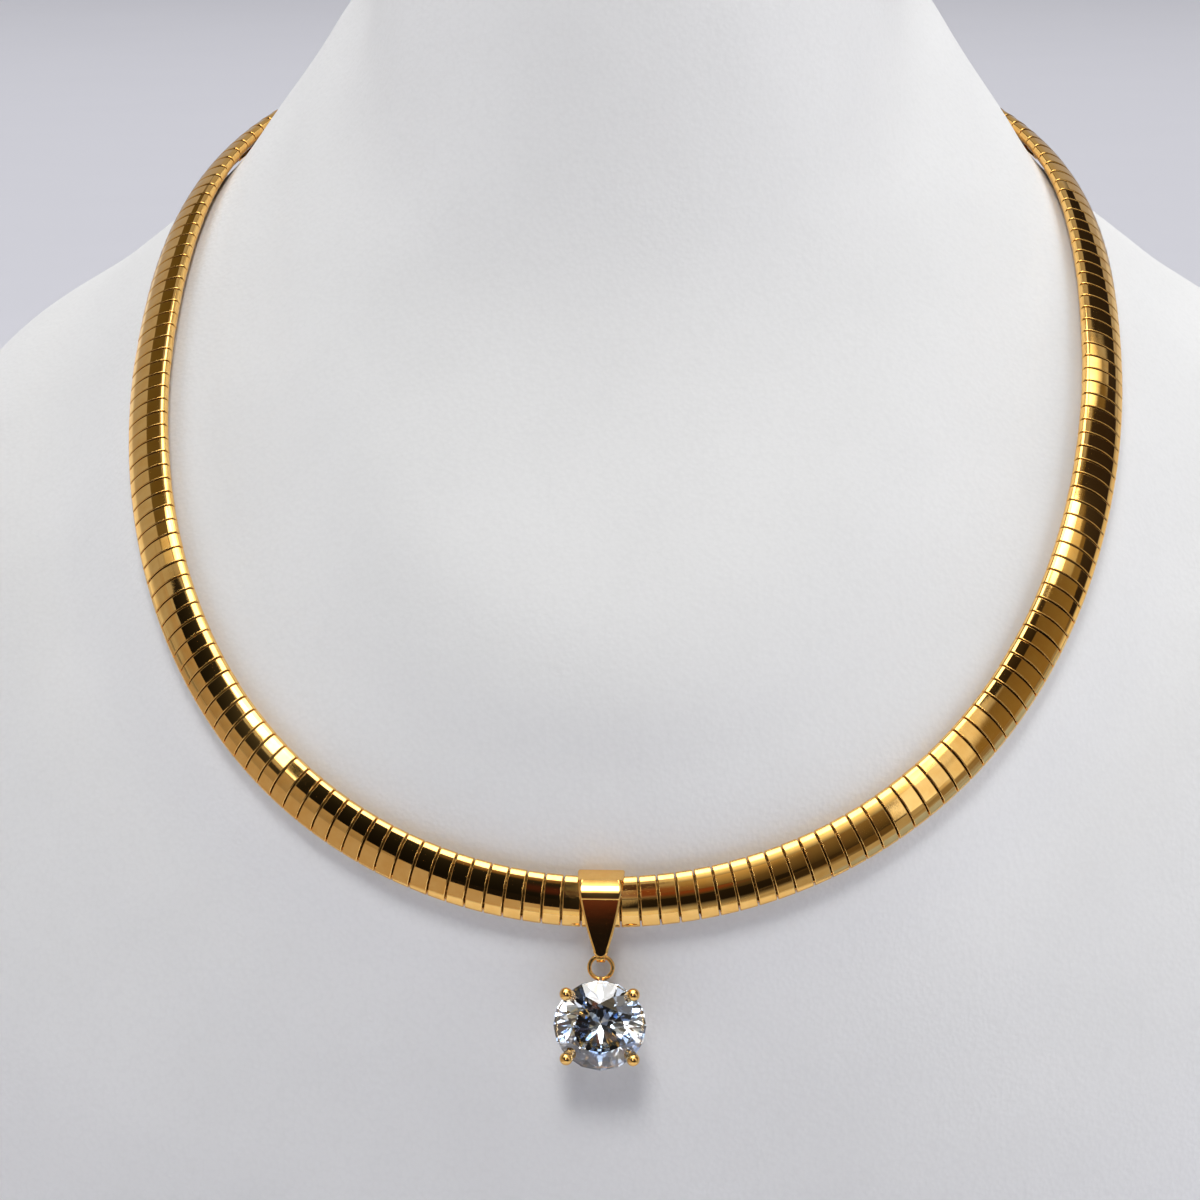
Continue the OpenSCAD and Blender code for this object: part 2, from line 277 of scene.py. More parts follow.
def new_material(name):
    """A material with its node tree, its shader and the object's own coordinates."""
    material = bpy.data.materials.new(name)
    material.use_nodes = True
    tree = material.node_tree
    shader = next(n for n in tree.nodes if n.type == "BSDF_PRINCIPLED")
    coords = tree.nodes.new("ShaderNodeTexCoord").outputs["Object"]
    return material, tree, shader, coords


def noise(tree, coords, size, detail, roughness=0.5):
    """Noise whose features are about size millimetres."""
    node = tree.nodes.new("ShaderNodeTexNoise")
    node.inputs["Scale"].default_value = 1 / (size * MM)
    node.inputs["Detail"].default_value = detail
    node.inputs["Roughness"].default_value = roughness
    tree.links.new(coords, node.inputs["Vector"])
    return node.outputs["Fac"]


def cells(tree, coords, size):
    """Rounded cells about size millimetres apart."""
    node = tree.nodes.new("ShaderNodeTexVoronoi")
    node.inputs["Scale"].default_value = 1 / (size * MM)
    tree.links.new(coords, node.inputs["Vector"])
    return node.outputs["Distance"]


def spread(tree, value, low, high, to_low, to_high):
    """Maps low..high to to_low..to_high."""
    node = tree.nodes.new("ShaderNodeMapRange")
    for name, number in (("From Min", low), ("From Max", high), ("To Min", to_low), ("To Max", to_high)):
        node.inputs[name].default_value = number
    tree.links.new(value, node.inputs["Value"])
    return node.outputs["Result"]


def mix_colours(tree, factor, first, second):
    """From first to second by factor; each colour is a tuple or a socket."""
    node = tree.nodes.new("ShaderNodeMix")
    node.data_type = "RGBA"
    tree.links.new(factor, node.inputs["Factor"])
    for socket, colour in ((node.inputs[6], first), (node.inputs[7], second)):
        if isinstance(colour, tuple):
            socket.default_value = (*colour, 1)
        else:
            tree.links.new(colour, socket)
    return node.outputs[2]


def calculate(tree, operation, first, second, third=None):
    """The result of a math node on sockets or numbers."""
    node = tree.nodes.new("ShaderNodeMath")
    node.operation = operation
    for socket, value in zip(node.inputs, (first, second, third)):
        if isinstance(value, (int, float)):
            socket.default_value = value
        elif value is not None:
            tree.links.new(value, socket)
    return node.outputs[0]


def add_bump(tree, shader, heights):
    """One bump from several heights, each with its depth in millimetres."""
    total = 0.0
    for height, depth in heights:
        total = calculate(tree, "MULTIPLY_ADD", height, depth, total)
    node = tree.nodes.new("ShaderNodeBump")
    node.inputs["Distance"].default_value = MM
    tree.links.new(total, node.inputs["Height"])
    tree.links.new(node.outputs["Normal"], shader.inputs["Normal"])


def leatherette():
    """White leatherette with a fine pebbled grain and a faintly cloudy tint."""
    material, tree, shader, coords = new_material("leatherette")
    grain = cells(tree, coords, 0.62)
    pebble = noise(tree, coords, 0.45, 3.0)
    cloudy = noise(tree, coords, 22.0, 2.0)
    tint = mix_colours(tree, spread(tree, cloudy, 0.3, 0.7, 0, 1), (0.77, 0.77, 0.77), (0.80, 0.80, 0.80))
    tint = mix_colours(tree, spread(tree, grain, 0.45, 0.85, 0, 0.15), tint, (0.68, 0.68, 0.68))
    tree.links.new(tint, shader.inputs["Base Color"])
    tree.links.new(spread(tree, pebble, 0.3, 0.7, 0.42, 0.6), shader.inputs["Roughness"])
    shader.inputs["Specular IOR Level"].default_value = 0.35
    add_bump(tree, shader, [(grain, 0.036), (pebble, 0.034)])
    return material


GOLD = (0.95, 0.585, 0.18)
GOLD_DEEP = (0.90, 0.51, 0.135)
# Woven core: its gold, and the painted shade between its wires
WIRE_GOLD = (0.42, 0.23, 0.06)
WIRE_SHADE = (0.12, 0.06, 0.015)


def polished_gold(name, roughness, by_piece=0.0):
    """Yellow gold with fine polishing marks; by_piece varies the polish from plate to plate."""
    material, tree, shader, coords = new_material(name)
    shader.inputs["Metallic"].default_value = 1.0
    cloudy = noise(tree, coords, 1.6, 3.0)
    tree.links.new(mix_colours(tree, spread(tree, cloudy, 0.35, 0.7, 0, 1), GOLD, GOLD_DEEP),
                   shader.inputs["Base Color"])
    fine = noise(tree, coords, 0.16, 4.0, 0.65)
    rough = spread(tree, fine, 0.3, 0.7, roughness * 0.6, roughness * 1.5)
    if by_piece:
        island = tree.nodes.new("ShaderNodeNewGeometry").outputs["Random Per Island"]
        extra = spread(tree, island, 0, 1, -by_piece, by_piece)
        rough = calculate(tree, "ADD", rough, extra)
    tree.links.new(rough, shader.inputs["Roughness"])
    add_bump(tree, shader, [(fine, 0.0006), (cloudy, 0.002)])
    return material


def woven_gold():
    """Satin gold with a bump like woven wire, and painted shade that darkens it between the wires."""
    material, tree, shader, coords = new_material("woven_gold")
    shader.inputs["Metallic"].default_value = 1.0
    weave = cells(tree, coords, 0.3)
    # Painted shade: the gold darkens towards WIRE_SHADE between the wires
    between = spread(tree, weave, 0.1, 0.6, 0, 1)
    tint = mix_colours(tree, between, WIRE_GOLD, WIRE_SHADE)
    tree.links.new(tint, shader.inputs["Base Color"])
    shader.inputs["Roughness"].default_value = 0.32
    add_bump(tree, shader, [(weave, 0.08)])
    return material


def clear_stone():
    """Clear stone with painted flashes: its colour is tinted in pale blue and dark blue patches, in place of
    the light and dark reflections of its facets.
    """
    material, tree, shader, coords = new_material("clear_stone")
    shader.inputs["IOR"].default_value = 2.42
    shader.inputs["Transmission Weight"].default_value = 1.0
    shader.inputs["Roughness"].default_value = 0.0
    # Painted flashes: patches where the stone's colour turns pale blue or dark blue, standing in for
    # reflections
    patches = tree.nodes.new("ShaderNodeTexVoronoi")
    patches.inputs["Scale"].default_value = 1 / (1.7 * MM)
    tree.links.new(coords, patches.inputs["Vector"])
    split = tree.nodes.new("ShaderNodeSeparateColor")
    tree.links.new(patches.outputs["Color"], split.inputs["Color"])
    pale = spread(tree, split.outputs[1], 0.4, 0.7, 0, 1)
    painted_dark_flash = spread(tree, split.outputs[0], 0.72, 0.74, 0, 1)
    tint = mix_colours(tree, pale, (1.0, 1.0, 1.0), (0.74, 0.87, 1.0))
    tint = mix_colours(tree, painted_dark_flash, tint, (0.10, 0.17, 0.36))
    tree.links.new(tint, shader.inputs["Base Color"])
    return material


# Camera at the photograph's viewing angle, aimed at the front of the chain

FRONT = np.array([0.0, -62.0, 95.0])


def add_camera():
    azimuth, elevation = math.radians(3.0), math.radians(11.2)
    distance = 600.0
    shift_right, shift_up = -0.28, 34.13
    focal_px, image_px = 5199.0, 1200.0
    forward = np.array([-math.sin(azimuth) * math.cos(elevation),
                        math.cos(azimuth) * math.cos(elevation), -math.sin(elevation)])
    right = np.array([math.cos(azimuth), math.sin(azimuth), 0.0])
    up = np.cross(right, forward)
    place = FRONT - distance * forward + shift_right * right + shift_up * up
    data = bpy.data.cameras.new("camera")
    data.sensor_width = 36.0
    data.lens = 36.0 * focal_px / image_px
    data.clip_start = 0.01
    data.clip_end = 100.0
    camera = bpy.data.objects.new("camera", data)
    scene.collection.objects.link(camera)
    turn = Matrix((right, up, -forward)).transposed()
    camera.matrix_world = Matrix.Translation(Vector(place * MM)) @ turn.to_4x4()
    scene.camera = camera


# Bust: the same sections as the solid, more finely drawn, with a softened lower edge

FOOT_ROUND = 1.3
FOOT_TOP = 0.06


def neck_bust():
    cols, rows = 216, 170
    turns = np.arange(cols) * 360 / cols
    foot, above = skin(0, turns), skin(FOOT_TOP, turns)
    inward = foot * (1 - FOOT_ROUND / np.linalg.norm(foot[:, :2], axis=1))[:, None]
    rings = [(1 - t) ** 2 * inward + 2 * t * (1 - t) * foot + t * t * above for t in (0, 0.2, 0.4, 0.6, 0.8)]
    rings += [skin(v, turns) for v in np.linspace(FOOT_TOP, LAST_ROW, rows)]
    top = BUST_SECTIONS[LAST_ROW]
    middle = np.array([0, (top[0] + top[5]) / 2, (top[1] + top[6]) / 2])
    up = unit(np.array([0, top[1] - top[6], top[5] - top[0]]))
    edge = skin(LAST_ROW, turns)
    to_middle = unit(middle - edge)
    for tilt in np.radians(np.linspace(0, 90, 11)[1:]):
        rings.append(edge + NECK_EDGE_R * ((1 - math.cos(tilt)) * to_middle + math.sin(tilt) * up))
    rim = rings[-1]
    cap = rim.mean(0)
    rings += [cap + (rim - cap) * share for share in (0.75, 0.5, 0.25)]
    points = np.concatenate([*rings, [cap, [0, 0, 0]]])
    count = len(rings)
    cap_index, base_index = count * cols, count * cols + 1
    faces = [f[::-1] for f in grid_faces(count, cols)]
    faces += [((count - 1) * cols + j, (count - 1) * cols + (j + 1) % cols, cap_index) for j in range(cols)]
    faces += [((j + 1) % cols, j, base_index) for j in range(cols)]
    obj = add_mesh("bust_skin", points, faces, leatherette())
    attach(obj, "stand")
    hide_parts("neck_bust")


# Plates: folded domed sheets with softened edges, open underneath

EDGE_X = CHAIN_W / 2 - EDGE_R
DOME_DROP = math.sqrt((DOME_R - EDGE_R) ** 2 - EDGE_X ** 2)
DOME_HALF = math.degrees(math.asin(EDGE_X / (DOME_R - EDGE_R)))
PLATE_BEVEL = 0.12
CLASP_BEVEL = 0.16
CLASP_SINK = 0.15
PLATE_TILT = 0.006      # radians that a plate leans off true
EDGE_STEPS = 8
HALF_DOME_STEPS = 11


def plate_outline(inset):
    """Outline from one lip underneath, over the dome, to the other, with its normals."""
    points, normals = [(SLOT_W / 2, inset), (EDGE_X, inset)], [(0, -1), (0, -1)]
    turns = np.concatenate([np.linspace(-90, 90 - DOME_HALF, EDGE_STEPS + 1)[1:],
                            np.linspace(90 - DOME_HALF, 90, HALF_DOME_STEPS + 1)[1:]])
    for turn in turns:
        c, s = math.cos(math.radians(turn)), math.sin(math.radians(turn))
        if turn <= 90 - DOME_HALF:
            points.append((EDGE_X + (EDGE_R - inset) * c, EDGE_R + (EDGE_R - inset) * s))
        else:
            points.append(((DOME_R - inset) * c, EDGE_R - DOME_DROP + (DOME_R - inset) * s))
        normals.append((c, s))
    mirrored = [(-x, h) for x, h in points[-2::-1]]
    mirrored_normals = [(-x, h) for x, h in normals[-2::-1]]
    return np.array(points + mirrored), np.array(normals + mirrored_normals)


def plate_mesh(place, reach, closed=False, bevel=PLATE_BEVEL):
    """A plate round place, its middle, across, away and along; reach is a function of the place across."""
    o, b, n, t = place
    stations = []
    outer_normals = []
    softened = bevel * (1 - math.sqrt(0.5))
    for end in (-1, 1):
        # Inset, setback from the end, and shares of the outline's and the end's normal
        levels = [(bevel, 0.0, 0, 1), (softened, softened, 1, 1), (0.0, bevel, 1, 0)]
        if end > 0:
            levels = levels[::-1]
        for inset, back, of_outline, of_end in levels:
            outline, flat = plate_outline(inset)
            x, h = outline[:, :1], outline[:, 1:]
            along_here = end * (reach(x) - back)
            stations.append(o + x * b + h * n + along_here * t)
            outward = flat[:, :1] * b + flat[:, 1:] * n
            outer_normals.append(unit(of_outline * outward + of_end * end * t))
    inner_outline, inner_flat = plate_outline(SHEET_T)
    x, h = inner_outline[:, :1], inner_outline[:, 1:]
    inner = [o + x * b + h * n + end * reach(x) * t for end in (-1, 1)]
    inner_normal = -(inner_flat[:, :1] * b + inner_flat[:, 1:] * n)
    k, rows = len(inner_outline), len(stations)
    last = (rows - 1) * k
    points = np.concatenate(stations + inner)
    faces, normals = [], []
    for i in range(rows - 1):
        for j in range(k - 1):
            faces.append((i * k + j, i * k + j + 1, (i + 1) * k + j + 1, (i + 1) * k + j))
            normals += [outer_normals[i][j], outer_normals[i][j + 1],
                        outer_normals[i + 1][j + 1], outer_normals[i + 1][j]]
    if closed:
        # A solid piece: flat ends and a flat underside
        faces += [tuple(range(k))[::-1], tuple(last + j for j in range(k))]
        faces.append(tuple(range(0, rows * k, k)) + tuple(range(k - 1, rows * k, k))[::-1])
        return points[:rows * k], [f[::-1] for f in faces], None
    first, second = rows * k, (rows + 1) * k
    for j in range(k - 1):
        faces.append((first + j, second + j, second + j + 1, first + j + 1))
        normals += [inner_normal[j], inner_normal[j], inner_normal[j + 1], inner_normal[j + 1]]
    for j in range(k - 1):
        faces.append((j, first + j, first + j + 1, j + 1))
        normals += [-t] * 4
        faces.append((last + j, last + j + 1, second + j + 1, second + j))
        normals += [t] * 4
    faces.append(tuple(range(0, rows * k, k)) + (second, first))
    normals += [-b] * (rows + 2)
    faces.append((first + k - 1, second + k - 1) + tuple(range(k - 1, rows * k, k))[::-1])
    normals += [b] * (rows + 2)
    return points, faces, normals


def add_plates():
    draw = np.random.default_rng(7)
    points, faces, normals, start = [], [], [], 0
    for side in (-1, 1):
        for i in range(PLATES_PER_SIDE):
            s = side * (i + 0.5) * PITCH
            turn = bend(s)
            pitched, rolled = draw.normal(0, PLATE_TILT, 2)
            n, t = away(s), along(s)
            n, t = unit(n + pitched * t), unit(t - pitched * n)
            b, n = unit(across(s) + rolled * n), unit(n - rolled * across(s))

            def reach(x, turn=turn):
                return (PITCH * (1 - turn * x) - PLATE_GAP) / 2

            p, f, n = plate_mesh((at(s), b, n, t), reach)
            points.append(p)
            faces += [tuple(j + start for j in face) for face in f]
            normals += n
            start += len(p)
    obj = add_mesh("plates", np.concatenate(points), faces, polished_gold("polished_gold", 0.04, 0.015),
                   corner_normals=[tuple(v) for v in normals])
    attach(obj, "stand")
    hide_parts("omega_plates")


def add_clasp():
    s = np.array(HALF_LENGTH)
    place = (at(s) - CLASP_SINK * away(s), across(s), away(s), along(s))
    points, faces, _ = plate_mesh(place, lambda x: CLASP_L / 2 - PLATE_GAP + 0 * x, closed=True,
                                  bevel=CLASP_BEVEL)
    obj = add_mesh("clasp_box", points, faces, polished_gold("clasp_gold", 0.08), smooth_angle=32)
    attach(obj, "stand")
    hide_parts("clasp")


# Bail: one folded strip with bevelled edges, from its front tip over the chain to its back tip
# Its side view is in millimetres forward of and above the middle of the chain's underside

EYE = np.array([1.07, -EYE_DROP])
LEAN = 7.35
BROW_TURN = 3.4
TOP_SLOPE = 14.8
FACE_TOP_Z = 0.85
BROW_R = 3.07
CREST = np.array([0.15, 2.84])
CREST_R = 0.8
BACK_FOOT_Z = -2.5
TONGUE_TOP = 3.7
TIP_Z = -5.55
TIP_INSET = 0.03        # the long side arcs end this much inside the round tip
SIDE_R = 43.0
BROW_END = 31.97
FACE_SINK = 0.07        # the flat face lies this much behind the foot of the brow
FACE_BEVEL = 0.24
TOP_BEVEL = 0.2
BACK_BEVEL = 0.16
TIP_T = 0.36
BACK_TIP_T = 0.3
BROW_SWELL = 0.2        # thickness added by the upper end of the brow
BROW_SOFTEN = 0.3       # bevel added there
TOP_T = 0.42            # thickness at both ends of the flat top
TOP_THIN = 0.16         # what it lacks of that half way
FOOT_ANGLES = (-70, -45, -25)                       # the crease at the foot of the brow
TOP_SHARES = (0, 0.04, 0.3, 0.6, 0.9, 1.0)          # along the flat top, from the brow to the crest
BACK_HEIGHTS = (CREST[1] - 0.05, 1.8, 0.5, -1.0, BACK_FOOT_Z + 0.1)
SLANT_HEIGHTS = (BACK_FOOT_Z - 0.1, -3.5, -4.5, TIP_Z)
EYE_WALL_R = 0.74
EYE_SIDES = 48


def ray(degrees):
    """Direction in the side view, in degrees up from straight forward."""
    return np.array([math.cos(math.radians(degrees)), math.sin(math.radians(degrees))])


def tongue_half_width(z):
    """Half width of the strip in the front view, from two long arcs."""
    top, tip = np.array([BAIL_W / 2, TONGUE_TOP]), np.array([TIP_R - TIP_INSET, TIP_Z])
    run = tip - top
    middle = (top + tip) / 2 + math.sqrt(SIDE_R ** 2 - run.dot(run) / 4) * unit(np.array([run[1], -run[0]]))
    return middle[0] + math.sqrt(SIDE_R ** 2 - (z - middle[1]) ** 2)


def bail_stations():
    """Rows of the strip: point, normal angle, thickness, bevel, half width and turn into the round tip."""
    tip_turns = np.linspace(90, 0, 13)
    foot = EYE + EYE_R * ray(-LEAN)
    face_top = foot + (FACE_TOP_Z - foot[1]) * np.array([math.tan(math.radians(LEAN)), 1])
    rows = []

    def add(p, normal, thick, bevel, half=None, turn=0.0):
        if half is None:
            half = tongue_half_width(p[1])
        rows.append((np.asarray(p, float), normal, thick, bevel, half, turn))

    def on_face(z):
        """A point of the front leaf's flat face at height z."""
        sunk = face_top - FACE_SINK * ray(-LEAN)
        return sunk + (z - sunk[1]) * np.array([math.tan(math.radians(LEAN)), 1])

    for turn in tip_turns[:-1]:
        c, s = math.cos(math.radians(turn)), math.sin(math.radians(turn))
        add(on_face(TIP_Z - TIP_R * s), -LEAN, TIP_T, FACE_BEVEL, TIP_R * c, turn)
    for z in np.linspace(TIP_Z, FACE_TOP_Z - 0.06, 16):
        add(on_face(z), -LEAN, LEAF_T - FACE_SINK, FACE_BEVEL)
    brow_middle = face_top - BROW_R * ray(-LEAN - BROW_TURN)
    for angle in FOOT_ANGLES:
        add(face_top + FACE_SINK * (ray(angle) - ray(-LEAN - BROW_TURN)), angle, LEAF_T, FACE_BEVEL)
    top_back = CREST + CREST_R * ray(90 - TOP_SLOPE)
    for angle in np.linspace(-LEAN - BROW_TURN, BROW_END, 15):
        share = (angle + LEAN + BROW_TURN) / (BROW_END + LEAN + BROW_TURN)
        bevel = FACE_BEVEL + BROW_SOFTEN * share ** 3
        add(brow_middle + BROW_R * ray(angle), angle, LEAF_T + BROW_SWELL * share, bevel)
    brow_top = brow_middle + BROW_R * ray(BROW_END)
    for share in TOP_SHARES:
        thick = TOP_T - TOP_THIN * math.sin(math.pi * share)
        add(brow_top + share * (top_back - brow_top), 90 - TOP_SLOPE, thick, TOP_BEVEL)
    for angle in np.linspace(90 - TOP_SLOPE, 180, 12)[1:]:
        add(CREST + CREST_R * ray(angle), angle, BACK_T, TOP_BEVEL)
    back = CREST[0] - CREST_R
    for z in BACK_HEIGHTS:
        add((back, z), 180, BACK_T, BACK_BEVEL)
    slant = EYE - np.array([EYE_R - 0.02, 0]) - np.array([back, BACK_FOOT_Z])
    lean_back = math.degrees(math.atan2(slant[0], -slant[1]))

    def on_back(z):
        """A point of the back leaf's slanting foot at height z."""
        return back + slant[0] * (z - BACK_FOOT_Z) / slant[1], z

    for z in SLANT_HEIGHTS:
        add(on_back(z), 180 + lean_back, BACK_T, BACK_BEVEL)
    for turn in tip_turns[::-1][1:]:
        c, s = math.cos(math.radians(turn)), math.sin(math.radians(turn))
        add(on_back(TIP_Z - TIP_R * s), 180 + lean_back, BACK_TIP_T, BACK_BEVEL, TIP_R * c, -turn)
    return rows


def add_bail():
    # Bevel levels by inset and depth, as shares of the bevel; the last ring bounds the open face
    levels = [(0.0, 1.0), (0.06, 0.80), (0.5, 0.26), (0.94, 0.02), (1.05, 0.0), (1.2, 0.0)]
    rings = []
    for point, angle, thick, bevel, half, turn in bail_stations():
        normal = ray(angle)
        upward = ray(angle + 90) if turn >= 0 else ray(angle - 90)
        c, s = math.cos(math.radians(turn)), abs(math.sin(math.radians(turn)))
        # The bevel narrows where the strip is too narrow for it
        room = min(1.0, half / (bevel * 1.4)) if s < 0.5 else 1.0
        right = [(half, point - thick * normal)]
        for inset, depth in levels:
            d = inset * bevel * room
            right.append((max(half - c * d, 0.0), point + s * d * upward - depth * bevel * normal))
        ring = right + [(-x, p) for x, p in right[::-1]]
        rings.append([ORIGIN + np.array([x, -p[0], p[1]]) for x, p in ring])
    cols = len(rings[0])
    strip = (np.concatenate(rings), [f[::-1] for f in grid_faces(len(rings), cols)])
    # The eye is a short tube with softened ends
    wall = [(EYE_HOLE_R, 0.42), (EYE_HOLE_R + 0.05, 0.5), (EYE_WALL_R - 0.06, 0.5), (EYE_WALL_R, 0.42)]
    wall += [(r, -x) for r, x in wall[::-1]]
    eye = [ORIGIN + np.array([x, -EYE[0] - r * math.cos(u), EYE[1] + r * math.sin(u)])
           for u in np.linspace(0, 2 * math.pi, EYE_SIDES, endpoint=False) for r, x in wall]
    eye_faces = grid_faces(EYE_SIDES + 1, len(wall))
    eye_faces = [tuple(i % len(eye) for i in face) for face in eye_faces]
    points, faces = join([strip, (eye, eye_faces)])
    obj = add_mesh("bail_fold", points, faces, polished_gold("bail_gold", 0.04), smooth_angle=24, weld=0.004)
    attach(obj, "stand")
    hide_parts("bail")


# Setting: jump ring, two rails, four prongs with balls and a post

PENDANT = ORIGIN + np.array([0, -EYE[0], EYE[1]])
STONE_MIDDLE = PENDANT + np.array([0, -STONE_FORWARD, -STONE_DROP])
STONE_R = STONE_D / 2
RAIL_R = 0.3
UPPER_RAIL_R, UPPER_RAIL_Z = STONE_R - 0.75, -1.05
LOWER_RAIL_R, LOWER_RAIL_Z = 2.2, -3.75
BALL_OUT, BALL_Z = STONE_R + 0.1, 0.6
# Side view of a prong: distance from the stone's axis, height and radius
PRONG_SIDE = [(LOWER_RAIL_R, LOWER_RAIL_Z, PRONG_R), (3.0, -2.72, PRONG_R), (3.8, -1.62, PRONG_R),
              (4.55, -0.55, PRONG_R), (5.1, 0.05, PRONG_R * 1.15), (5.45, 0.45, PRONG_R)]
# The post runs forward from the foot of the jump ring to the upper rail
POST_R = 0.35
POST_HEIGHT = STONE_DROP - 2 * RING_R - 0.1
POST_STEPS = (0, 0.8, 1.7)


def stone_point(x, y, z):
    """From the stone's own axes, z out of its table, to the row frame."""
    return STONE_MIDDLE + np.array([x, -z, y])


def circle(radius, z, count):
    """Points of a circle round the stone's axis, z over its girdle."""
    turns = np.linspace(0, 2 * math.pi, count, endpoint=False)
    return [stone_point(radius * math.cos(u), radius * math.sin(u), z) for u in turns]


def add_setting():
    gold = polished_gold("setting_gold", 0.05)
    turns = np.linspace(0, 2 * math.pi, 72, endpoint=False)
    ring = [PENDANT + np.array([RING_R * math.sin(u), 0, RING_R * (math.cos(u) - 1)]) for u in turns]
    parts = [tube(ring, RING_WIRE_R, 24, closed=True),
             tube(circle(UPPER_RAIL_R, UPPER_RAIL_Z, 96), RAIL_R, closed=True),
             tube(circle(LOWER_RAIL_R, LOWER_RAIL_Z, 64), RAIL_R, closed=True)]
    for quarter in (45, 135, 225, 315):
        c, s = math.cos(math.radians(quarter)), math.sin(math.radians(quarter))
        prong = [stone_point(r * c, r * s, z) for r, z, _ in PRONG_SIDE]
        parts.append(tube(prong, [radius for _, _, radius in PRONG_SIDE]))
        parts.append(ball(stone_point(BALL_OUT * c, BALL_OUT * s, BALL_Z), BALL_R, 24, 36))
    post = [stone_point(0, POST_HEIGHT, step - STONE_FORWARD) for step in POST_STEPS]
    parts.append(tube(post, POST_R))
    points, faces = join(parts)
    obj = add_mesh("basket_setting", points, faces, gold, smooth_angle=60)
    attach(obj, "pendant")
    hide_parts("setting")


def dress_cad_nodes():
    """Materials for the two solids that stay as they are."""
    stone, core = nodes["stone"], nodes["mesh_core"]
    for obj, material in ((stone, clear_stone()), (core, woven_gold())):
        obj.data.materials.clear()
        obj.data.materials.append(material)
    stone.data.polygons.foreach_set("use_smooth", [False] * len(stone.data.polygons))


# Studio: pale floor, soft lights, and cards that only reflections see

def add_floor():
    material, tree, shader, coords = new_material("floor_paint")
    tint = mix_colours(tree, noise(tree, coords, 60, 3), (0.80, 0.80, 0.87), (0.82, 0.82, 0.89))
    tree.links.new(tint, shader.inputs["Base Color"])
    shader.inputs["Roughness"].default_value = 0.8
    sides = 96
    turns = np.linspace(0, 2 * math.pi, sides, endpoint=False)
    radii = (300, 900, 2500, 8000)
    points = [(r * math.cos(u), r * math.sin(u), 0) for r in radii for u in turns]
    faces = [tuple(range(sides))] + grid_faces(len(radii), sides)
    add_mesh("floor", points, faces, material)


# The world's colour all round, and where metal mirrors it
AROUND = (0.035, 0.035, 0.036)
MIRRORED = (0.42, 0.41, 0.42)
STONE_LIGHT = 2.6
STONE_PATCHES = 3.2
# Colours that the stone sees, each from its share of the patches on
STONE_SEES = ((0.0, (0.004, 0.005, 0.008)), (0.28, (0.015, 0.03, 0.09)), (0.38, (0.06, 0.14, 0.34)),
              (0.46, (0.30, 0.55, 1.0)), (0.56, (1.0, 1.0, 1.0)), (0.94, (0.75, 0.36, 0.12)))


def add_world():
    """Soft light all round, dimmer where metal mirrors it, and in light and dark patches for the stone."""
    world = bpy.data.worlds.new("studio")
    scene.world = world
    world.use_nodes = True
    tree = world.node_tree
    around = next(n for n in tree.nodes if n.type == "BACKGROUND")
    mirrored = tree.nodes.new("ShaderNodeBackground")
    around.inputs["Color"].default_value = (*AROUND, 1)
    mirrored.inputs["Color"].default_value = (*MIRRORED, 1)
    patches = tree.nodes.new("ShaderNodeTexVoronoi")
    patches.inputs["Scale"].default_value = STONE_PATCHES
    tree.links.new(tree.nodes.new("ShaderNodeTexCoord").outputs["Generated"], patches.inputs["Vector"])
    split = tree.nodes.new("ShaderNodeSeparateColor")
    tree.links.new(patches.outputs["Color"], split.inputs["Color"])
    ramp = tree.nodes.new("ShaderNodeValToRGB")
    ramp.color_ramp.interpolation = "CONSTANT"
    for k, (place, colour) in enumerate(STONE_SEES):
        stop = ramp.color_ramp.elements[k] if k < 2 else ramp.color_ramp.elements.new(place)
        stop.position = place
        stop.color = (*colour, 1)
    tree.links.new(split.outputs[0], ramp.inputs["Fac"])
    in_stone = tree.nodes.new("ShaderNodeBackground")
    in_stone.inputs["Strength"].default_value = STONE_LIGHT
    tree.links.new(ramp.outputs["Color"], in_stone.inputs["Color"])
    rays = tree.nodes.new("ShaderNodeLightPath")
    result = around.outputs[0]
    for kind, seen in (("Is Glossy Ray", mirrored), ("Is Transmission Ray", in_stone)):
        mix = tree.nodes.new("ShaderNodeMixShader")
        tree.links.new(rays.outputs[kind], mix.inputs["Fac"])
        tree.links.new(result, mix.inputs[1])
        tree.links.new(seen.outputs[0], mix.inputs[2])
        result = mix.outputs[0]
    output = next(n for n in tree.nodes if n.type == "OUTPUT_WORLD")
    tree.links.new(result, output.inputs["Surface"])


def add_light(name, azimuth, elevation, distance, size, power):
    """A soft area light aimed at the front of the chain, which metal doesn't mirror."""
    data = bpy.data.lights.new(name, "AREA")
    data.shape = "RECTANGLE"
    data.size, data.size_y = size[0] * MM, size[1] * MM
    data.energy = power
    light = bpy.data.objects.new(name, data)
    light.visible_glossy = False
    a, e = math.radians(azimuth), math.radians(elevation)
    outward = Vector((math.sin(a) * math.cos(e), -math.cos(a) * math.cos(e), math.sin(e)))
    light.location = Vector(FRONT * MM) + outward * distance * MM
    light.rotation_euler = outward.to_track_quat("Z", "Y").to_euler()
    scene.collection.objects.link(light)


# Light name, azimuth, elevation, distance, size and power
LIGHTS = [
    ("key", -3, 52, 900, (260, 260), 4.2),
    ("side_right", 97, 30, 900, (500, 500), 4.2),
    ("side_left", -102, 30, 900, (500, 500), 2.7),
    ("backdrop", 180, 48, 3200, (3400, 1500), 68),
]


def on_sphere(azimuth, elevation, radius=800.0):
    """A place round the front of the chain; azimuth is from the viewer towards +X."""
    a, e = math.radians(azimuth), math.radians(elevation)
    return FRONT + radius * np.array([math.sin(a) * math.cos(e), -math.cos(a) * math.cos(e), math.sin(e)])


def near(azimuth, elevation):
    return on_sphere(azimuth, elevation, 760.0)


def far(azimuth, elevation):
    return on_sphere(azimuth, elevation, 960.0)


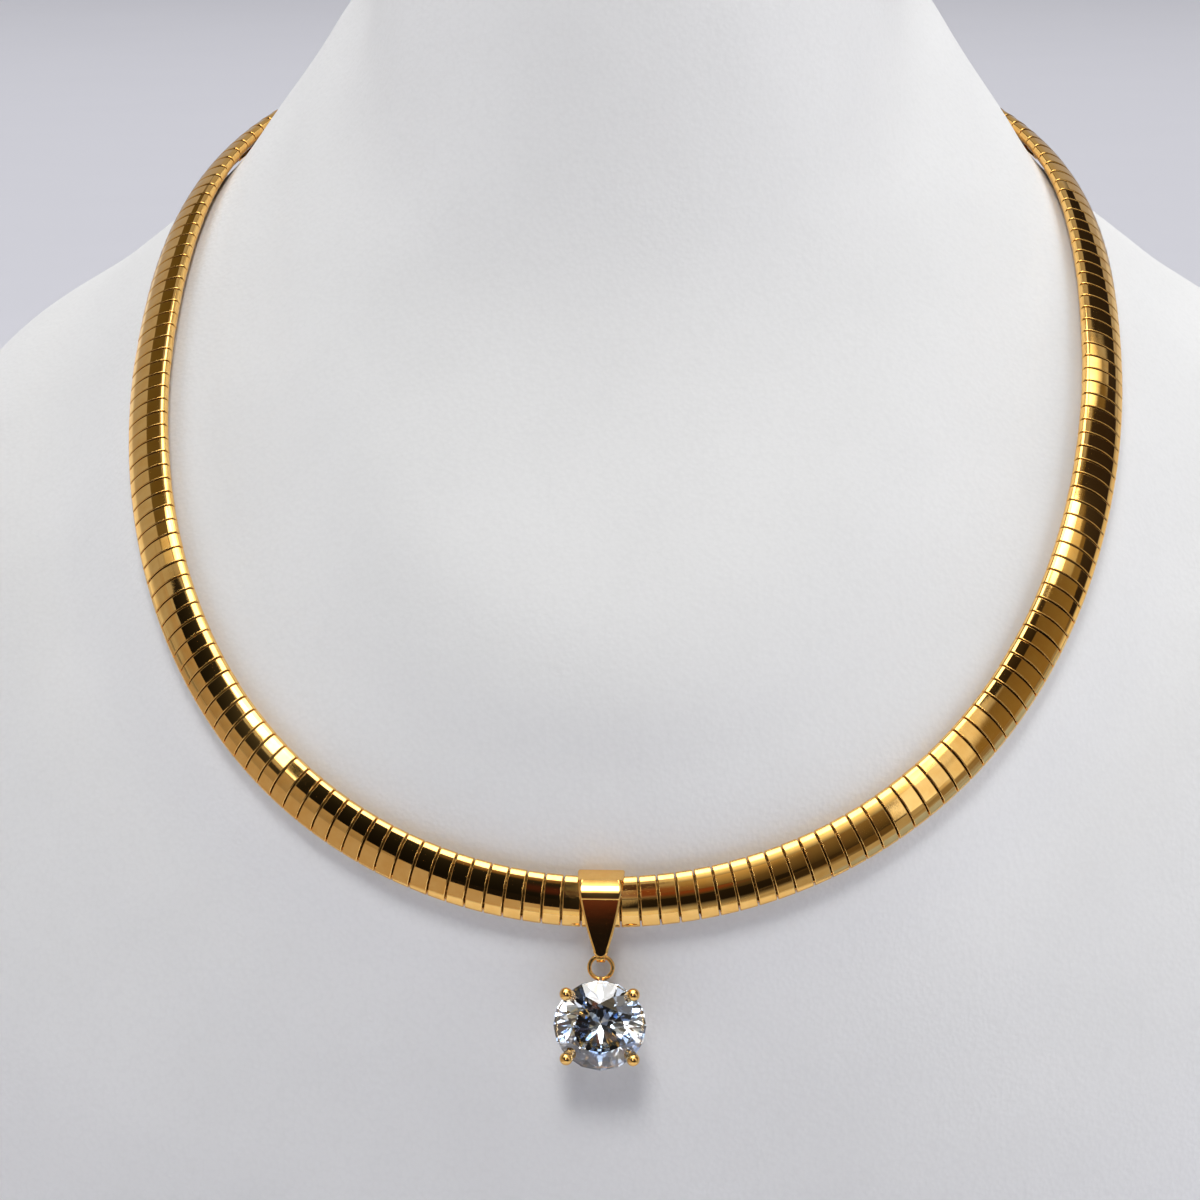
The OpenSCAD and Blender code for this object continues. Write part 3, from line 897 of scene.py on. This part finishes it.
def behind(azimuth, elevation):
    return on_sphere(azimuth, elevation, 1080.0)


def on_floor(azimuth, distance, height=2.5):
    a = math.radians(azimuth)
    return np.array([distance * math.sin(a), FRONT[1] - distance * math.cos(a), height])


def low_floor(azimuth, distance):
    return on_floor(azimuth, distance, 0.8)


def mid_floor(azimuth, distance):
    return on_floor(azimuth, distance, 1.6)


def near_floor(azimuth, distance):
    return on_floor(azimuth, distance, 3.4)


NO_FADE = 0.001


def card_material(name, glow, colour, soft):
    """Emission that runs from the card's lower to its upper glow and fades out at its edges."""
    material = bpy.data.materials.new(name)
    material.use_nodes = True
    material.cycles.emission_sampling = "NONE"
    tree = material.node_tree
    tree.nodes.clear()
    split = tree.nodes.new("ShaderNodeSeparateXYZ")
    tree.links.new(tree.nodes.new("ShaderNodeUVMap").outputs[0], split.inputs[0])
    u, v = split.outputs["X"], split.outputs["Y"]
    mask = 1.0
    for value, width in ((u, soft[0]), (v, soft[1])):
        from_edge = calculate(tree, "MINIMUM", value, calculate(tree, "SUBTRACT", 1.0, value))
        mask = calculate(tree, "MULTIPLY", spread(tree, from_edge, 0, max(width, NO_FADE), 0, 1), mask)
    emission = tree.nodes.new("ShaderNodeEmission")
    emission.inputs["Color"].default_value = (*colour, 1)
    tree.links.new(spread(tree, v, 0, 1, *glow), emission.inputs["Strength"])
    mix = tree.nodes.new("ShaderNodeMixShader")
    tree.links.new(mask, mix.inputs["Fac"])
    tree.links.new(tree.nodes.new("ShaderNodeBsdfTransparent").outputs[0], mix.inputs[1])
    tree.links.new(emission.outputs[0], mix.inputs[2])
    tree.links.new(mix.outputs[0], tree.nodes.new("ShaderNodeOutputMaterial").inputs["Surface"])
    return material


CARD_COLS = 33
CARD_ROWS = 13


def add_card(name, place, stations, glow, colour, soft):
    """A card through stations of azimuth, lower and upper elevation (on the floor: near and far)."""
    table = np.array(stations, float)
    azimuths = np.linspace(table[0, 0], table[-1, 0], CARD_COLS)
    low, high = (np.interp(azimuths, table[:, 0], table[:, k]) for k in (1, 2))
    shares = np.linspace(0, 1, CARD_ROWS)
    points = [place(a, lo + (hi - lo) * v) for a, lo, hi in zip(azimuths, low, high) for v in shares]
    faces = grid_faces(CARD_COLS, CARD_ROWS, wrap=False)
    obj = add_mesh(name, points, faces, card_material(name, glow, colour, soft))
    layer = obj.data.uv_layers.new(name="card")
    spots = np.array([(u, v) for u in np.linspace(0, 1, CARD_COLS) for v in shares])
    corner = np.zeros(len(obj.data.loops), int)
    obj.data.loops.foreach_get("vertex_index", corner)
    layer.uv.foreach_set("vector", spots[corner].ravel())
    obj.visible_camera = False
    obj.visible_diffuse = False
    obj.visible_shadow = False


# Card name, place, stations, glow of its lower and upper edge, colour, softness along and up
CARDS = [
    ("softbox", far,
     [(-84, 64, 84), (-76, 63, 84), (-70, 61, 84), (-60, 58, 84), (-50, 54.5, 84), (-41, 50, 84),
      (-30, 44, 84), (-24, 41, 84), (-14, 38, 84), (-5, 37, 84), (4, 38, 84), (14, 41, 84), (22, 44, 84),
      (30, 48, 84), (40, 58, 84), (46, 66, 84)],
     (4.2, 4.2), (1, 0.98, 0.95), (0.01, 0.045)),
    ("ceiling", far, [(-180, 86, 90), (-84, 84, 90), (46, 84, 90), (180, 86, 90)],
     (4.2, 4.2), (1, 0.98, 0.95), (0, 0)),
    ("ceiling_left", far, [(-180, 72, 86), (-84, 74, 86)], (4.2, 4.2), (1, 0.98, 0.95), (0.01, 0.05)),
    ("ceiling_right", far, [(46, 78, 86), (70, 76, 86), (110, 76, 86), (180, 72, 86)],
     (4.2, 4.2), (1, 0.98, 0.95), (0.01, 0.05)),
    ("wall_left", behind, [(-98, -4, 34), (-90, -6, 30), (-70, -6, 24), (-50, -6, 24), (-30, -6, 10)],
     (0.3, 0.42), (1, 0.85, 0.74), (0.1, 0.1)),
    ("brown_left", behind,
     [(-152, 36, 44), (-142, 36, 54), (-130, 38, 61), (-115, 40, 65), (-105, 40, 66), (-95, 39, 66),
      (-85, 42, 66), (-80, 50, 64)],
     (0.12, 0.11), (1, 0.76, 0.32), (0.06, 0.06)),
    ("strip_far_left_low", near,
     [(-91, 38, 44), (-88, 38, 52), (-85, 42, 57), (-82, 48, 58), (-79, 55, 59)],
     (0.3, 0.9), (1, 0.92, 0.75), (0.1, 0.1)),
    ("strip_far_left", near,
     [(-88, 60, 64), (-84, 57.5, 69), (-80, 59.5, 69), (-76, 60.5, 69), (-73, 64, 68)],
     (2.0, 8.0), (1, 0.97, 0.9), (0.1, 0.12)),
    ("flag_far_left", on_sphere,
     [(-86, 33, 37), (-82, 24, 46), (-80, 19, 51), (-76, 15.5, 57), (-72, 12, 58.5), (-66, 10, 58.5),
      (-62, 10, 57.5), (-59, 12, 54.5), (-56.5, 16, 47)],
     (0.001, 0.003), (1, 0.6, 0.6), (0.02, 0.03)),
    ("strip_left", near,
     [(-57, 52, 57), (-55, 50, 57), (-53.5, 46, 57), (-52.8, 26, 57), (-51, 23, 57), (-50, 26, 57),
      (-49, 31, 56), (-47.5, 36, 56), (-45.5, 41, 56), (-44, 46, 55.5), (-41.5, 50, 55.5),
      (-39.5, 53, 55.5)],
     (3.0, 9.0), (1, 0.97, 0.9), (0.04, 0.06)),
    ("flag_left", on_sphere,
     [(-53, 17, 21), (-50, 15, 24), (-48, 12, 33), (-44, 8, 45), (-41, -2, 50), (-37, -6, 54),
      (-33, -6, 53), (-29, -6, 48.5), (-25, -6, 43.5), (-20, -6, 39.5), (-14, -6, 37.5), (-6, -6, 37)],
     (0.001, 0.003), (1, 0.6, 0.6), (0.01, 0.02)),
    ("warm_left", near, [(-15, 2, 26), (-6, 2, 26)], (0.07, 0.03), (1, 0.16, 0.1), (0.4, 0.4)),
    ("amber_left", near, [(-25, 31, 41), (-6, 28, 38)], (0.02, 0.34), (1, 0.6, 0.3), (0.2, 0.3)),
    ("pale_far_left", behind,
     [(-160, -2, 8), (-150, -4, 13), (-135, -4, 15), (-118, -4, 13), (-106, -4, 12)],
     (1.1, 0.7), (1, 1, 1), (0.2, 0.3)),
    ("floor_left", low_floor, [(-120, 100, 1500), (-60, 100, 1500), (0, 100, 1500)],
     (0.47, 0.4), (1, 0.87, 0.82), (0.01, 0.01)),
    ("floor_pale", mid_floor, [(-28, 100, 150), (-8, 100, 150), (22, 100, 150)],
     (0.85, 0.75), (1, 1, 1), (0.2, 0.05)),
    ("floor_flag_left", on_floor,
     [(-36, 640, 1500), (-32, 420, 1500), (-25, 270, 1500), (-16, 200, 1500), (-8, 172, 1500),
      (-6.4, 152, 1500), (-5, 134, 1500), (-1, 132, 1500), (1, 146, 1500), (2, 150, 1500)],
     (0.006, 0.006), (1, 0.7, 0.7), (0.01, 0.005)),
    ("face_red", near_floor, [(-7, 163, 183), (1, 163, 183)], (0.05, 0.17), (1, 0.2, 0.12), (0.1, 0.3)),
    ("floor_flag_right", on_floor,
     [(2, 150, 1500), (10, 135, 1500), (20, 118, 1500), (28, 100, 1500), (36, 106, 1500)],
     (0.008, 0.02), (1, 0.7, 0.5), (0.04, 0.06)),
    ("floor_dim_right", on_floor, [(35, 106, 1500), (40, 112, 1500), (46, 150, 1500)],
     (0.03, 0.045), (1, 0.7, 0.45), (0.1, 0.06)),
    ("floor_brown_right", mid_floor,
     [(30, 112, 1500), (36, 115, 1500), (46, 135, 1500), (53, 185, 1500), (57, 230, 480), (62, 280, 380)],
     (0.12, 0.1), (1, 0.72, 0.42), (0.06, 0.1)),
    ("floor_tan_right", mid_floor, [(67, 300, 1500), (74, 260, 1500), (84, 250, 1500), (92, 300, 1500)],
     (0.26, 0.26), (1, 0.85, 0.7), (0.1, 0.1)),
    ("floor_right", low_floor, [(0, 100, 1500), (60, 100, 1500), (115, 100, 1500)],
     (0.42, 0.4), (1, 0.95, 0.92), (0.01, 0.01)),
    ("bail_strip_low", near, [(-5.6, -8, 2), (-0.4, -8, 2)], (0.4, 2.4), (1, 0.96, 0.88), (0.02, 0.01)),
    ("bail_strip", near, [(-5.6, 2, 24), (-0.4, 2, 24)], (8.0, 8.0), (1, 0.98, 0.95), (0.02, 0.04)),
    ("bail_strip_top", near, [(-5.6, 24, 48), (-0.4, 24, 48)], (2.4, 0.5), (1, 0.96, 0.88), (0.02, 0.01)),
    ("warm_right", near, [(0.5, -1, 24), (6, -3, 24), (14, -6, 14), (20, -6, 4)],
     (0.16, 0.22), (1, 0.28, 0.1), (0.1, 0.3)),
    ("dark_near_right", near, [(-0.2, 18, 33), (4.4, 18, 33)], (0.04, 0.08), (1, 0.5, 0.4), (0.06, 0.1)),
    ("gradient_near_right", near, [(4, 6, 30), (14, 4, 30), (24, 6, 30)],
     (0.13, 0.6), (1, 0.8, 0.5), (0.3, 0.1)),
    ("gradient_right", on_sphere, [(4, -7, 28), (22, -7, 28), (40, -7, 28), (50, -7, 20), (60, -7, 2)],
     (0.045, 0.21), (1, 0.75, 0.45), (0.05, 0.01)),
    ("gradient_right_top", on_sphere, [(3, 28, 40), (14, 28, 42), (24, 28, 46), (32, 28, 50), (44, 28, 32)],
     (0.21, 1.7), (1, 0.95, 0.82), (0.05, 0.01)),
    ("stripe_right_top", near, [(29, 49, 54), (32, 46, 58), (36, 40, 60), (40, 34, 58), (43, 30, 52)],
     (3.6, 2.2), (1, 0.98, 0.93), (0.04, 0.06)),
    ("stripe_right_low", near,
     [(37, 31, 42), (39, 27, 46), (42, 19, 46), (45, 12, 44), (48, 6, 38), (51, 1, 30), (54, -4, 22),
      (58, -7, 14), (65, -7, 0)],
     (1.25, 0.9), (0.97, 1, 1.12), (0.06, 0.08)),
    ("tan_right", on_sphere,
     [(38, 48, 62), (42, 44, 62), (46, 36, 58), (50, 28, 52), (54, 19, 43), (58, 9, 34), (62, 0, 25),
      (66, -6, 16), (70, -7, 7), (76, -7, -2)],
     (0.9, 0.9), (1, 0.97, 0.95), (0.08, 0.25)),
    ("diagonal_right", near,
     [(41, 60, 65), (45, 57, 68), (50, 51, 68), (56, 46, 68), (62, 45, 67), (67, 49, 60)],
     (0.015, 0.035), (1, 0.68, 0.42), (0.04, 0.06)),
    ("brown_right", far,
     [(54, -6.5, 60), (62, -6.5, 68), (74, -6.5, 71), (90, -5, 71), (98, -1, 70), (106, 4, 66),
      (114, 8, 62), (122, 12, 58)],
     (0.26, 0.14), (1, 0.74, 0.36), (0.05, 0.05)),
    ("strip_right", near,
     [(68, 68, 74), (72, 59, 74), (79, 53, 74), (85, 56, 74), (90, 57, 73), (92, 60, 70)],
     (2.4, 10.0), (1, 0.98, 0.93), (0.06, 0.08)),
    ("strip_right_low", near, [(79, 51, 58), (84, 43, 58), (88, 36, 58), (91, 34, 52), (93, 33, 40)],
     (0.35, 1.1), (1, 0.92, 0.72), (0.1, 0.08)),
    ("dark_right", on_sphere,
     [(93, 47, 62), (97, 30, 64), (102, 6, 66), (106, 1, 66), (112, 3, 60), (117, 8, 42), (121, 11, 36),
      (126, 14, 34), (129, 16, 32)],
     (0.02, 0.03), (1, 0.7, 0.6), (0.06, 0.06)),
    ("strip_far_right", near,
     [(114, 56, 70), (117, 48, 70), (120, 43, 70), (123, 45, 69), (126, 52, 69), (131, 60, 68)],
     (0.2, 4.0), (1, 0.95, 0.85), (0.06, 0.12)),
    ("dark_far_right", on_sphere,
     [(126, 20, 52), (131, 18, 60), (138, 22, 58), (144, 28, 54), (150, 33, 48), (154, 34, 42)],
     (0.02, 0.03), (1, 0.8, 0.7), (0.06, 0.06)),
    ("floor_far_right", mid_floor,
     [(66, 110, 150), (74, 110, 260), (84, 110, 460), (96, 110, 900), (118, 110, 1500)],
     (0.75, 0.95), (0.48, 0.62, 1), (0.1, 0.12)),
    ("pale_far_right", behind, [(100, -4, 2), (112, -4, 7), (125, -4, 13), (140, -4, 18), (160, -4, 20)],
     (1.0, 0.5), (1, 0.98, 0.92), (0.15, 0.2)),
]


def add_glare():
    """A little bloom round the hottest highlights."""
    scene.use_nodes = True
    tree = scene.node_tree
    layers = next(n for n in tree.nodes if n.type == "R_LAYERS")
    output = next(n for n in tree.nodes if n.type == "COMPOSITE")
    glare = tree.nodes.new("CompositorNodeGlare")
    glare.glare_type = "BLOOM"
    for name, value in (("Threshold", 1.1), ("Strength", 0.22), ("Size", 0.3)):
        glare.inputs[name].default_value = value
    tree.links.new(layers.outputs["Image"], glare.inputs["Image"])
    tree.links.new(glare.outputs["Image"], output.inputs["Image"])


add_camera()
neck_bust()
add_plates()
add_clasp()
add_bail()
add_setting()
dress_cad_nodes()
add_floor()
add_world()
for light in LIGHTS:
    add_light(*light)
for card in CARDS:
    add_card(*card)

scene.view_settings.view_transform = "Standard"
add_glare()
